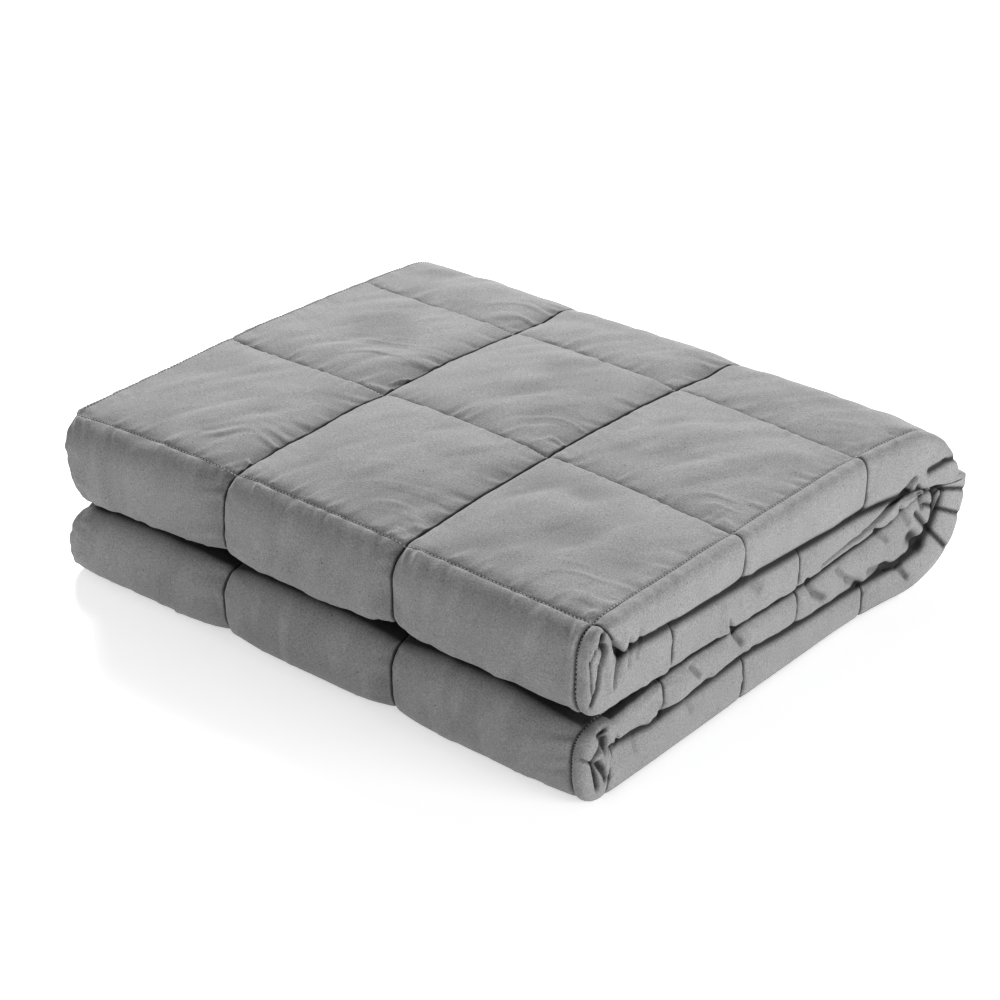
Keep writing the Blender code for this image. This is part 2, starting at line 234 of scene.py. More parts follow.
def seam_heights(x):
    climb = np.clip((x + HALF_PANEL) / RAMP, 0.0, 1.0)
    fill = np.clip((x - FILL_START_X) / FILL_RUN, 0.0, 1.0)
    return PLY_SEAM * climb * (1 - fill), -PLY_SEAM * (1 - fill)


def in_three(u, depth, outer):
    """Point (x, h) of the outer or the inner skin; h is the height in the layer."""
    parts = [u < RIGHT_BEND_START, u < RIGHT_BEND_END, u < LEFT_BEND_START, u < LEFT_BEND_END]
    flap_x = HALF_PANEL - (RIGHT_BEND_START - u)
    top_x = HALF_PANEL - (u - RIGHT_BEND_END)
    short_x = -HALF_PANEL + (u - LEFT_BEND_END)
    bends = []
    for table, side, along in ((RIGHT_BEND, 1, u - RIGHT_BEND_START),
                               (LEFT_BEND, -1, LEFT_BEND_END - u)):
        scale = 1 - depth / HALF_LAYER if outer else HALF_GAP / HALF_LAYER
        across = on_bend(table, along, "across")
        rise = on_bend(table, along, "rise")
        bends.append((side * (HALF_PANEL + across * scale), rise * scale))
    climb = np.clip((short_x + HALF_PANEL) / RAMP, 0.0, 1.0)
    if outer:
        flap_h = -HALF_LAYER + depth
        top_h = HALF_LAYER - depth
        short_h = blend(-HALF_LAYER, -HALF_PLY, climb) + depth
    else:
        flap_h = seam_heights(flap_x)[1] - HALF_GAP
        top_h = seam_heights(top_x)[0] + HALF_GAP
        short_h = seam_heights(short_x)[0] - HALF_GAP
    x = np.select(parts, [flap_x, bends[0][0], top_x, bends[1][0]], short_x)
    h = np.select(parts, [flap_h, bends[0][1], top_h, bends[1][1]], short_h)
    return x, h


# ------------------------------------------------------- folded back and forth

def line_height(x, y, name):
    """Height of a line between two layers at a place in the pack."""
    near_end = ease((x - HALF_PANEL + END_RUN) / END_RUN)
    leftness = np.clip((HALF_PANEL - x) / PANEL, 0.0, 1.0)
    fall = leftness * np.clip((FALL_END_Y - y) / FALL_END_Y, 0.0, 1.0)
    inside = np.interp(y, INSIDE_LINES["y"], INSIDE_LINES[name]) - LEFT_FALL[name] * fall
    return blend(inside, np.interp(y, END_LINES["y"], END_LINES[name]), near_end)


def opening(x, y):
    """Half the gap between the two packs, widest at their front bends."""
    near_end = ease((x - HALF_PANEL + END_RUN) / END_RUN)
    widest = blend(GROOVE_OPEN, GROOVE_OPEN_END, near_end)
    return LAYER_GAP / 2 + widest * ease((OPEN_RUN - y) / OPEN_RUN)


def settled_height(x, y, z):
    """Height after the filling has settled and moved the lines between the layers."""
    low, middle, high = [line_height(x, y, name) for name in ("low", "middle", "high")]
    gap = opening(x, y)
    before = [0.0, PITCH - LAYER_GAP / 2, 2 * PITCH - LAYER_GAP, 2 * PITCH,
              3 * PITCH - LAYER_GAP / 2, STACK_TOP]
    after = [0.0, low, middle - gap, middle + gap, high, STACK_TOP]
    height = np.zeros_like(z)
    for index in range(len(before) - 1):
        run = before[index + 1] - before[index]
        share = np.clip((z - before[index]) / run, 0.0, 1.0)
        height = height + share * (after[index + 1] - after[index])
    return height


def tip_thinning(y, tip_y, run):
    place = np.clip((y - tip_y + run) / run, 0.0, 1.0)
    return 1 - np.sqrt(1 - place ** 2)


def tuck_faces(x, y):
    """Outer and inner face heights of the upper and of the lower tucked layer."""
    middle, gap = line_height(x, y, "middle"), opening(x, y)
    upper_outer = middle + gap
    upper_inner = np.maximum(line_height(x, y, "high") - LAYER_GAP / 2, upper_outer + LEAST_LAYER)
    lower_outer = middle - gap
    lower_inner = blend(line_height(x, y, "low") + LAYER_GAP / 2, lower_outer - TIP_THICKNESS,
                        tip_thinning(y, LOWER_TIP_Y, TIP_RUN_LOWER))
    return upper_outer, upper_inner, lower_outer, lower_inner


def round_bend(table, along, centre, inner_radius, share):
    angle = on_bend(table, along, "angle")
    across = blend(inner_radius * np.sin(angle), on_bend(table, along, "across"), share)
    rise = blend(-inner_radius * np.cos(angle), on_bend(table, along, "rise"), share)
    return across, centre + rise


def back_and_forth(x, v, height):
    """Point (y, z) of the folded strip at v, at a height in its layer."""
    share = (height + HALF_LAYER) / LAYER
    parts = [v < UPPER_BEND_START, v < UPPER_BEND_END, v < BACK_BEND_START,
             v < BACK_BEND_END, v < LOWER_BEND_START, v < LOWER_BEND_END]
    upper_y = UPPER_BEND_Y + (UPPER_BEND_START - v) * UPPER_EASE
    lower_y = LOWER_BEND_Y + (v - LOWER_BEND_END) * LOWER_EASE
    front_up = round_bend(UPPER_BEND, v - UPPER_BEND_START,
                          3 * PITCH - LAYER_GAP / 2, LAYER_GAP / 2, share)
    front_low = round_bend(LOWER_BEND, v - LOWER_BEND_START,
                           PITCH - LAYER_GAP / 2, LAYER_GAP / 2, share)
    back = round_bend(BACK_BEND, BACK_BEND_END - v,
                      2 * PITCH - LAYER_GAP / 2, PITCH - LAYER_GAP / 2, share)
    y = np.select(parts, [upper_y, UPPER_BEND_Y - front_up[0], UPPER_BEND_Y + v - UPPER_BEND_END,
                          BACK_BEND_Y + back[0], BACK_BEND_Y - (v - BACK_BEND_END),
                          LOWER_BEND_Y - front_low[0]], lower_y)
    upper_outer, upper_inner, lower_outer, lower_inner = tuck_faces(x, y)
    z = np.select(parts[1:], [front_up[1], blend(3 * PITCH, STACK_TOP, share), back[1],
                              blend(LAYER, 0.0, share), front_low[1]], 0.0)
    z = settled_height(x, y, z)
    z = np.where(parts[0], blend(upper_inner, upper_outer, share), z)
    z = np.where(v >= LOWER_BEND_END, blend(lower_inner, lower_outer, share), z)
    return y, z


def in_pack(x, y, z):
    """The point after the middle has swelled, the left end leaned and the back end flared."""
    across = np.clip(x / HALF_WIDTH, -1.0, 1.0)
    along = np.clip((y - MIDDLE_Y) / HALF_DEPTH, -1.0, 1.0)
    swelled = z * (1 + SWELL * (1 - across ** 2) * (1 - along ** 2))
    leftness = np.clip(-x / HALF_PANEL, 0.0, 1.0) ** 4
    lean = np.interp(z, LEFT_LEAN["z"], LEFT_LEAN["x"]) * ease((LEAN_RUN - y) / LEAN_RUN)
    rise = np.interp(y, LEFT_RISE["y"], LEFT_RISE["z"]) * z / STACK_TOP
    x = x + lean * MM * leftness
    swelled = swelled + rise * MM * leftness
    rightness = np.clip(x / HALF_PANEL, 0.0, 1.0)
    flare = FLARE * rightness * np.clip((y - FLARE_START) / FLARE_RUN, 0.0, 1.0) ** 2
    grounded = np.maximum(swelled - SETTLE, 0.0)
    return np.stack([x + flare - CENTRE_X, y - CENTRE_Y, grounded], axis=-1)


def fold(u, v, depth, outer=True):
    x, h = in_three(u, depth, outer)
    y, z = back_and_forth(x, v, h)
    return in_pack(x, y, z)


# ------------------------------------------------------------------ soft noise

LATTICES = {}


def soft_noise(a, b, seed):
    """Smooth noise from -1 to 1 with a cell of 1, the same on every run."""
    size = 64
    if seed not in LATTICES:
        LATTICES[seed] = np.random.default_rng(seed).uniform(-1.0, 1.0, (size, size))
    lattice = LATTICES[seed]
    a0, b0 = np.floor(a).astype(int), np.floor(b).astype(int)
    fa, fb = ease(a - a0), ease(b - b0)
    corner = {(i, j): lattice[(a0 + i) % size, (b0 + j) % size] for i in (0, 1) for j in (0, 1)}
    low = blend(corner[0, 0], corner[1, 0], fa)
    high = blend(corner[0, 1], corner[1, 1], fa)
    return blend(low, high, fb)


def creased(noise):
    """Soft noise with some sharp valleys in it."""
    return 0.7 * noise + 0.8 * (np.abs(noise) - 0.35)


def bump_shape(distance):
    """0, rising to 1 at a distance of 1 and falling away again."""
    return distance * np.exp(1 - distance)


# ---------------------------------------------------------------- the quilting

def nearest_line(place):
    """Number of the nearest stitch line and the signed distance to it."""
    number = np.round(place / SQUARE).astype(int)
    return number, place - number * SQUARE


def shown_share(u):
    """1 on the faces that show, 0 on the flaps inside."""
    return ease((u - RIGHT_BEND_START + LAYER) / LAYER) * (1 - ease((u - LEFT_BEND_END) / RAMP))


def end_share(u):
    """1 on the right end bend, 0 away from it."""
    return ease((RIGHT_BEND_END + 2 * MM - u) / (5 * MM)) * ease(
        (u - RIGHT_BEND_START + 12 * MM) / (10 * MM))


def front_share(v):
    """1 on the two front bends, 0 away from them."""
    upper = ease((v - UPPER_BEND_START) / 0.02) * ease((UPPER_BEND_END - v) / 0.02)
    lower = ease((v - LOWER_BEND_START) / 0.02) * ease((LOWER_BEND_END - v) / 0.02)
    return upper + lower


def drawn_in(away, name):
    """Depth of the cloth at a distance from a stitch line."""
    return sum(depth * MM * np.exp(-away / (run * MM)) for depth, run in DRAWN_IN[name])


def rolled(away, width):
    """1 at a line, falling to 0 at a width from it like a rounded edge."""
    return 1 - np.sqrt(1 - np.clip(1 - away / width, 0, 1) ** 2)


def lengthways_crease(u, v):
    """Depth and slide at the stitch lines that run along the length."""
    line, off = nearest_line(u)
    away = np.abs(off)
    left = off > 0
    deep = (line == 4) | (line == 5)
    deep_left = drawn_in(away, "deep_left") + SLOT_DEPTH * (1 - ease(away / SLOT_WIDTH))
    deep_right = drawn_in(away, "deep_right") + ROLL_DEPTH * rolled(away, ROLL_WIDTH)
    fine = 0.8 * MM * np.exp(-away / (9 * MM)) + blend(1.0, 2.8, front_share(v)) * MM * np.exp(
        -away / (1.1 * MM))
    fine = np.where(line == 6, 0.25 * fine, fine)
    strength = 1 - 0.85 * ease((v - BACK_BEND_START + 0.02) / 0.03) * ease(
        (BACK_BEND_END - v) / 0.03)
    hidden = DRAW_HIDDEN * np.exp(-away / (14 * MM))
    depth = np.where(deep, strength * np.where(left, deep_left, deep_right),
                     np.where((line == 3) | (line == 6), fine, hidden))
    square_share = off / SQUARE
    hollow = np.where(deep, 1.5 * MM, 0.7 * MM) * (1 - 2 * np.abs(square_share)) ** 3
    slide = np.where(deep & ~left, 1.15 * MM * bump_shape(away / (1.8 * MM)), 0.0)
    wave = soft_noise(v / 0.030, line * 3.7, 21) * np.exp(-(away / WAVE_REACH) ** 2)
    slide = slide + np.where(deep, 0.9 * MM, 0.4 * MM) * wave
    inside = (u > 0) & (u < WIDTH)
    return np.where(inside, depth + hollow, DRAW_HIDDEN), np.where(inside, slide, 0.0)


def back_calm(v):
    """1, and less on the back bend, where the stitch lines are drawn in less."""
    return 1 - 0.8 * ease((v - BACK_BEND_START) / 0.03) * ease((BACK_BEND_END - v) / 0.03)


def crossways_crease(u, v):
    """Depth and slide at the stitch lines that run across."""
    line, off = nearest_line(v)
    away = np.abs(off)
    behind = off > 0
    top_front = drawn_in(away, "top_front") + TOP_ROLL_DEPTH * rolled(away, TOP_ROLL_WIDTH)
    on_top = (line == 4) | (line == 5)
    depth = np.where(on_top, np.where(behind, drawn_in(away, "top_behind"), top_front),
                     np.where(line == 3, drawn_in(away, "flush"), drawn_in(away, "plain")))
    on_end = end_share(u)
    depth = blend(depth, drawn_in(away, "right_end") * back_calm(v), on_end)
    hollow = np.where(line == 3, 0.3 * MM, blend(1.2 * MM, 0.3 * MM, on_end)) * (
        1 - 2 * away / SQUARE) ** 3
    slide = np.where(on_top & ~behind, 0.5 * MM * bump_shape(away / (1.2 * MM)), 0.0)
    wave = soft_noise(u / 0.026, line * 3.1, 22) * np.exp(-(away / WAVE_REACH) ** 2)
    slide = slide + 0.6 * MM * wave * np.where(line == 3, 0.5, 1.0)
    inside = (v > 0) & (v < LENGTH)
    hidden = DRAW_HIDDEN * np.exp(-away / (14 * MM))
    depth = (depth + hollow) * (1 - 0.6 * np.exp(-np.abs(u - LEFT_BEND_START) / (14 * MM)))
    depth = blend(hidden, depth, shown_share(u))
    return np.where(inside, depth, DRAW_HIDDEN), np.where(inside, slide, 0.0)


# Strength of the drag folds round the front right corner of a square: by column
# from the right and by row from the corner line
DRAG_BY_COLUMN = {3: 0.35, 4: 0.5, 5: 1.0}
DRAG_BY_ROW = {3: 1.0, 4: 0.9, 5: 0.6}


def drag_folds(u, v):
    """Curved folds round the front right corner of the squares on top."""
    column, row = np.floor(u / SQUARE).astype(int), np.floor(v / SQUARE).astype(int)
    a, b = u - column * SQUARE, v - row * SQUARE
    strength = np.zeros_like(u)
    for number, share in DRAG_BY_COLUMN.items():
        for other, row_share in DRAG_BY_ROW.items():
            strength = np.where((column == number) & (row == other), share * row_share, strength)
    radius, angle = np.hypot(a / 1.3, b), np.arctan2(a, b + 1e-9)
    ring = radius / (4.6 * MM) + 1.2 * soft_noise(angle / 0.5, column + 7.0 * row, 31)
    shape = creased(soft_noise(ring, angle / 0.9 + 5.0 * column + 3.0 * row, 32))
    window = np.exp(-(radius / 0.046) ** 2) * (1 - np.exp(-(radius / 0.008) ** 2))
    return 2.3 * MM * strength * shape * window * ease((1.45 - angle) / 0.6)


def pucker_side(off):
    return np.where(off > 0, 1.0, -1.0)


def puckers(u, v):
    """Short folds that run out from the stitch lines."""
    line, off = nearest_line(v)
    away = np.abs(off)
    side = pucker_side(off)
    share_left = 1 - (u / SQUARE) % 1.0
    reach = (11 + 9 * share_left * (off > 0)) * MM
    reach = reach + 5 * MM * soft_noise(u / 0.02, line * 7 + side, 11)
    along = u + 0.25 * away
    ridge = soft_noise(along / 0.0040, line * 5 + side * 2 + away / 0.05, 12)
    ridge = creased(ridge) + 0.6 * soft_noise(along / 0.0085, line * 5 + side * 2 + 0.5, 17)
    total = 0.78 * MM * ridge * np.exp(-(away / reach) ** 1.7) * np.clip(
        away / (2.5 * MM), 0.25, 1)
    line, off = nearest_line(u)
    away = np.abs(off)
    side = pucker_side(off)
    reach = 12 * MM + 6 * MM * soft_noise(v / 0.03, line * 7 + side * 3, 13)
    ridge = soft_noise((v + 0.35 * away) / 0.0050, line * 5 + side * 2 + away / 0.05, 14)
    strength = (np.where(off > 0, 0.75, 0.36) + 0.30 * front_share(v)) * MM
    beside = strength * ridge * np.exp(-(away / reach) ** 1.6) * np.clip(away / (3 * MM), 0.2, 1)
    return total * (1 + 1.1 * front_share(v)) + beside


def in_square(place):
    return 1 - np.abs(1 - 2 * (place / SQUARE % 1.0)) ** 4


def broad_folds(u, v):
    """Soft folds over the squares."""
    calm = in_square(u) * in_square(v)
    slanted, across = u + 0.45 * v, v - 0.45 * u
    total = 1.15 * MM * soft_noise(slanted / 0.020, across / 0.060, 15) * calm
    total = creased(total / MM) * MM + 1.1 * MM * soft_noise(
        (u - 0.5 * v) / 0.045, (v + 0.5 * u) / 0.030, 18) * calm
    return total + 0.46 * MM * soft_noise(slanted / 0.0085, across / 0.034, 16) * calm


def front_drape(u, v):
    """Upright streaks on the front bends."""
    streak = soft_noise(u / 0.0075, v / 0.040, 41) + 0.6 * soft_noise(u / 0.018, v / 0.050, 42)
    return 0.95 * MM * creased(streak) * front_share(v)


# How crumpled the right end is along the length: v in squares, height in mm
END_CRUMPLE = {"v": (0.0, 2.3, 3.0, 5.2, 5.6, 6.6, 7.0, 9.4, 9.9, 12.0),
               "height": (0.5, 0.4, 0.3, 0.3, 0.12, 0.12, 0.3, 0.4, 0.6, 0.7)}


def end_crumple(u, v):
    """Upright folds on the strips at the right end."""
    height = np.interp(v / SQUARE, END_CRUMPLE["v"], END_CRUMPLE["height"]) * MM
    lean = v + 0.35 * (u - RIGHT_BEND_START)
    shape = soft_noise(lean / 0.0065, u / 0.022, 51) + 0.9 * soft_noise(lean / 0.015, u / 0.030, 52)
    return height * creased(shape) * end_share(u)


def creased_skin(u, v):
    """Height over the solid's faces, slides along the sheet and the folds alone."""
    deep, slide_u = lengthways_crease(u, v)
    shallow, slide_v = crossways_crease(u, v)
    depth = np.minimum((deep ** 3 + shallow ** 3) ** (1 / 3), 8.3 * MM)
    shown = shown_share(u)
    on_end = end_share(u)
    folds = drag_folds(u, v) + puckers(u, v) + (1 - on_end) * (
        broad_folds(u, v) * (1 - 0.6 * front_share(v)) + front_drape(u, v)) + end_crumple(u, v)
    return shown * (CROWN + folds) - depth, shown * slide_u, shown * slide_v, folds


# --------------------------------------------------------------------- the view

# Fitted by least squares to the outline and the crossings of the stitch lines in the
# photo, in a step of its own outside this script
FOCAL_PIXELS = 2413.3
IMAGE_WIDTH = 1000
SENSOR = 36.0
AZIMUTH = 0.66586
ELEVATION = 0.47834
ROLL = 0.0298
CAMERA_FROM_CORNER = np.array([4.86852, -6.81888, 4.90121]) * SQUARE
CORNER = np.array([HALF_PANEL - CENTRE_X, -CENTRE_Y, 0.10463])
CAMERA_PLACE = CORNER + CAMERA_FROM_CORNER


def view_axes():
    """The camera's directions: to its right, up, and back towards the viewer."""
    back = np.array([math.sin(AZIMUTH) * math.cos(ELEVATION),
                     -math.cos(AZIMUTH) * math.cos(ELEVATION), math.sin(ELEVATION)])
    right = np.array([math.cos(AZIMUTH), math.sin(AZIMUTH), 0.0])
    up = np.cross(right, -back)
    return (math.cos(ROLL) * right + math.sin(ROLL) * up,
            -math.sin(ROLL) * right + math.cos(ROLL) * up, back)


# ---------------------------------------------------------- folds at the right end

# Folds and dents in the right end. Each runs between two places given in
# pixels of the photo; half width and height (a dent is < 0) are in mm
END_FOLD_COLUMNS = ("px0", "py0", "px1", "py1", "half_width", "height")
END_FOLDS = (
    # front edge of the upper pack
    (604, 646, 600, 665, 1.1, -7.5),
    (600, 665, 597, 690, 1.1, -7.5),
    (597, 690, 591, 706, 1.3, -3.5),
    (596, 650, 590, 664, 0.8, -1.3),
    (590, 664, 592, 697, 0.8, -1.3),
    (603, 636, 601, 646, 2.0, -5.0),
    # second layer
    (605, 648, 607, 690, 2.4, 2.2),
    (614, 645, 617.5, 655, 1.8, -4.0),
    (617.5, 655, 613.4, 686, 1.8, -3.0),
    (622, 640, 622, 678, 2.6, 1.6),
    (629, 638, 627, 664, 1.6, -1.4),
    (640, 630, 636, 655, 1.8, -0.9),
    # front edge of the lower pack
    (604, 731, 599, 735, 2.0, -3.5),
    (601, 737, 600, 746, 1.2, -7.0),
    (600, 746, 592, 762, 1.2, -7.0),
    (592, 762, 597, 788, 1.5, -4.0),
    (577.5, 760, 590, 763, 0.8, -1.6),
    (604, 739, 604, 750, 2.0, -4.0),
    (597, 763, 606, 779, 1.6, -3.6),
    (601, 752, 603, 775, 2.2, 1.6),
    (615, 735, 612.5, 746, 1.6, -1.4),
    (630.6, 735, 634, 751, 1.6, -1.2),
    (659, 707, 657, 717, 1.5, -1.5),
    (684, 697, 690, 710, 1.6, -1.2),
    # third layer
    (690, 667, 698, 675, 1.6, -2.4),
    (722, 612, 728, 633, 3.0, 1.6),
    (728, 622, 732, 631, 1.6, -2.6),
    (732, 631, 741, 643, 1.8, -3.4),
    (751, 582, 758, 588, 3.5, -1.6),
    (806, 582, 812, 593, 2.2, -3.2),
    (814, 594, 822, 598, 2.0, -3.0),
    (836, 570, 846, 579, 1.8, -1.8),
    (872, 527, 886, 541, 1.8, -1.8),
    (899, 508, 908, 524, 1.6, -1.8),
    (917, 486, 922, 508, 1.6, -1.8),
    # between the second and the third layer
    (822, 566, 849, 544, 1.3, -2.5),
    (849, 544, 871, 527, 1.5, -3.5),
    (871, 527, 902, 493, 2.0, -5.0),
    (902, 493, 914, 480, 2.0, -4.0),
    # bottom layer
    (867, 571, 884, 566, 2.4, -2.8),
    (884, 566, 897, 566, 2.2, -3.6),
    (897, 566, 906, 578, 1.6, -3.6),
    (909, 537, 918, 546, 4.0, -3.0),
    (846, 580, 857, 583, 2.2, -2.4),
)

# The fan of folds in the back bend; these run on past their second place by so many
# mm backwards and up, to the edge of the bend
FAN_COLUMNS = ("px0", "py0", "px1", "py1", "on_y", "on_z", "half_width", "height")
FAN_FOLDS = (
    (929, 471, 945, 462, 0.0, 0.0, 2.3, -2.0),
    (945, 462, 962, 456, 4.0, 0.6, 2.0, -1.2),
    (932.6, 488, 962, 489, 3.0, -1.0, 1.4, -1.2),
    (924, 504.5, 955, 513, 3.0, -1.5, 1.4, -1.2),
    (915, 514, 928, 530, 0.0, 0.0, 1.6, -2.0),
    (928, 530, 942, 544, 2.0, -2.0, 1.6, -1.6),
)
SLANT_Y, SLANT_Z = 1.41, 1.03       # shift of y and z for each step out of the end
END_PLANE = 0.189
FOLD_LIMITS = (-5.5 * MM, 3 * MM)   # of the folds together
DARK_DENT = 3.0             # mm of depth from which a dent gets its full painted shade
PALE_FROM, PALE_TO = -160.0, 136.0  # mm along the end between which dents get half as much painted shade
# Painted shade in the fan folds of the back bend
FAN_DARK = 1.0
FLARE_ROUNDS = 12           # enough for the place on the flared end to settle


def end_place(pixel_x, pixel_y):
    """Place (y, z) in mm where the view through a pixel of the photo meets the end."""
    right, up, back = view_axes()
    middle = IMAGE_WIDTH / 2
    ray = (-back + right * (pixel_x - middle) / FOCAL_PIXELS
           - up * (pixel_y - middle) / FOCAL_PIXELS)
    x = END_PLANE
    for _ in range(FLARE_ROUNDS):
        place = CAMERA_PLACE + ray * (x - CAMERA_PLACE[0]) / ray[0]
        behind = min(max((place[1] + CENTRE_Y - FLARE_START) / FLARE_RUN, 0.0), 1.0)
        x = END_PLANE + FLARE * behind ** 2
    return round(place[1] / MM, 1), round(place[2] / MM, 1)


def placed_folds():
    """The folds of the right end with their end points in mm and their painted shade."""
    placed = []
    for columns, rows in ((END_FOLD_COLUMNS, END_FOLDS), (FAN_COLUMNS, FAN_FOLDS)):
        for values in rows:
            row = dict(zip(columns, values))
            row["y0"], row["z0"] = end_place(row["px0"], row["py0"])
            row["y1"], row["z1"] = end_place(row["px1"], row["py1"])
            row["y1"] += row.get("on_y", 0.0)
            row["z1"] += row.get("on_z", 0.0)
            dark = min(1.0, max(0.0, -row["height"] / DARK_DENT))
            pale = PALE_FROM < row["y0"] < PALE_TO
            row["dark"] = FAN_DARK if rows is FAN_FOLDS else dark * (0.5 if pale else 1.0)
            placed.append(row)
    return placed


PLACED_FOLDS = placed_folds()


def end_folds(base):
    """Height of the folds of the right end at points of the smooth pack, and their painted shade.
    """
    x, y, z = base[..., 0], base[..., 1], base[..., 2]
    behind = np.clip((y + CENTRE_Y - FLARE_START) / FLARE_RUN, 0.0, 1.0)
    out = x - END_PLANE - FLARE * behind ** 2
    p, q = (y + SLANT_Y * out) / MM, (z - SLANT_Z * out) / MM
    total, dent_painted_shade = np.zeros_like(p), np.zeros_like(p)
    for fold_row in PLACED_FOLDS:
        run_y, run_z = fold_row["y1"] - fold_row["y0"], fold_row["z1"] - fold_row["z0"]
        length = max(math.hypot(run_y, run_z), 0.1)
        share = ((p - fold_row["y0"]) * run_y + (q - fold_row["z0"]) * run_z) / length ** 2
        share = np.clip(share, 0.0, 1.0)
        away = np.hypot(p - fold_row["y0"] - share * run_y, q - fold_row["z0"] - share * run_z)
        shape = np.exp(-(away / fold_row["half_width"]) ** 2)
        total = total + fold_row["height"] * MM * shape
        # Painted shade in the dents and fan folds
        dent_painted_shade = np.maximum(dent_painted_shade, fold_row["dark"] * np.minimum(1.0, 1.5 * shape))
    return np.clip(total, *FOLD_LIMITS), dent_painted_shade


# -------------------------------------------------------------------- the skin

def unit(vectors):
    return vectors / np.maximum(np.linalg.norm(vectors, axis=-1, keepdims=True), 1e-12)


def painted_contact_shade(table, size, along, v):
    """Shade painted on an end bend near the layers that lie against it."""
    rise = on_bend(table, along, "rise")
    reach = on_bend(table, along, "across") / size
    outer_shows = ((v > UPPER_BEND_START) & (v < BACK_BEND_END)) | (
        (v > LOWER_BEND_START) & (v < LOWER_BEND_END))
    tucked_outer = (rise > 0) & ((v < UPPER_BEND_START) | (v > LOWER_BEND_END))
    edge = np.where(tucked_outer, 0.82, 0.93)
    on_table = (along > -2 * MM) & (along < table["length"][-1] + 2 * MM)
    dark = 0.90 * ease((edge - reach) / 0.20) * on_table
    return np.where((rise > 0) & outer_shows, 0.0, dark)


def painted_crease_shade(u, v):
    """How much shade is painted on the cloth in the stitch lines and between the layers, 0 to 1."""
    line, off = nearest_line(u)
    away = np.abs(off)
    front = np.clip(front_share(v), 0.0, 1.0)
    # Painted shade along the stitch lines that run along the length
    deep = 0.97 * np.exp(-(away / (1.0 * MM)) ** 2) + 0.20 * np.exp(-away / (9 * MM)) * (off > 0)
    fine = np.where(line == 6, 0.0, blend(0.40, 0.90, front)) * np.exp(-(away / (0.75 * MM)) ** 2)
    lengthways = np.where((line == 4) | (line == 5), deep, fine)
    # Painted shade along the stitch lines that run across
    line, off = nearest_line(v)
    away = np.abs(off)
    on_end = end_share(u)
    crossways = blend(0.35, 0.95, on_end) * np.exp(-(away / (blend(0.7, 1.0, on_end) * MM)) ** 2)
    # Painted shade where the layers lie against the end bends
    contact = np.maximum(
        painted_contact_shade(RIGHT_BEND, RIGHT_BEND_REACH, u - RIGHT_BEND_START, v),
        painted_contact_shade(LEFT_BEND, LEFT_BEND_REACH, LEFT_BEND_END - u, v))
    # Painted shade in the groove between the two packs
    over = np.exp(-np.maximum(v - UPPER_BEND_START - 8 * MM, 0.0) / (5 * MM))
    over = np.where(v > UPPER_BEND_START, over, 0.0)
    under = np.exp(-np.maximum(LOWER_BEND_END - 13 * MM - v, 0.0) / (3 * MM))
    under = np.where(v < LOWER_BEND_END, under, 0.0)
    groove = 0.94 * (1 - on_end) * np.maximum(over, under)
    return np.maximum.reduce([lengthways, crossways, contact, groove])


def skin(u, v):
    """Points of the outer skin, its smooth normals and its painted shade, 1 where none is painted.
    """
    step = SKIN_STEP
    base = fold(u, v, 0.0)
    along_u = unit(fold(u + step, v, 0.0) - fold(u - step, v, 0.0))
    along_v = unit(fold(u, v + step, 0.0) - fold(u, v - step, 0.0))
    normal = unit(np.cross(along_v, along_u))
    height, slide_u, slide_v, folds = creased_skin(u, v)
    facing = ease((normal[..., 0] - 0.1) / 0.4) * end_share(u)
    end_height, dent_painted_shade = end_folds(base)
    in_air = ease(base[..., 2] / (9 * MM))
    height = height + facing * end_height - (1 - in_air) * shown_share(u) * folds
    # Painted shade: darker in the stitch lines, between the layers, in the groove between the
    # packs, in the dents of the right end and in the valleys of the folds
    painted_shade = (1 - painted_crease_shade(u, v)) * (1 - 0.9 * facing * dent_painted_shade)
    painted_shade = painted_shade * (1 - 0.20 * np.clip(-folds / MM, 0.0, 1.0))
    points = base + normal * height[..., None] + along_u * slide_u[..., None]
    points = points + along_v * slide_v[..., None]
    points[..., 2] = np.maximum(points[..., 2], 0.0)
    return points, normal, painted_shade


# -------------------------------------------------------------------- meshes

NEAR_DEEP = (0.0, 0.25, 0.5, 0.8, 1.1, 1.5, 2.0, 2.6, 3.3, 4.1, 5.0, 6.0, 7.1)   # mm off a line
NEAR_FINE = (0.0, 0.4, 0.8, 1.3, 1.9, 2.7, 3.7, 4.8)
# Painted shade on the lining inside
LINING_PAINTED_SHADE = 0.3
LINING_STEP = 0.012
SHARP_ANGLE = math.radians(75)
SKIN_STEP = 0.6 * MM        # step for the skin's own directions


def spread(start, end, step, near_start=(), near_end=()):
    """Even places between two lines, with closer ones near either of them."""
    first = [start + off * MM for off in near_start]
    last = [end - off * MM for off in near_end][::-1]
    low = first[-1] if first else start
    high = last[0] if last else end
    count = max(1, int(math.ceil((high - low) / step)))
    return np.concatenate([first, np.linspace(low, high, count + 1), last])


def joined(*runs):
    return np.unique(np.round(np.concatenate(runs), 7))


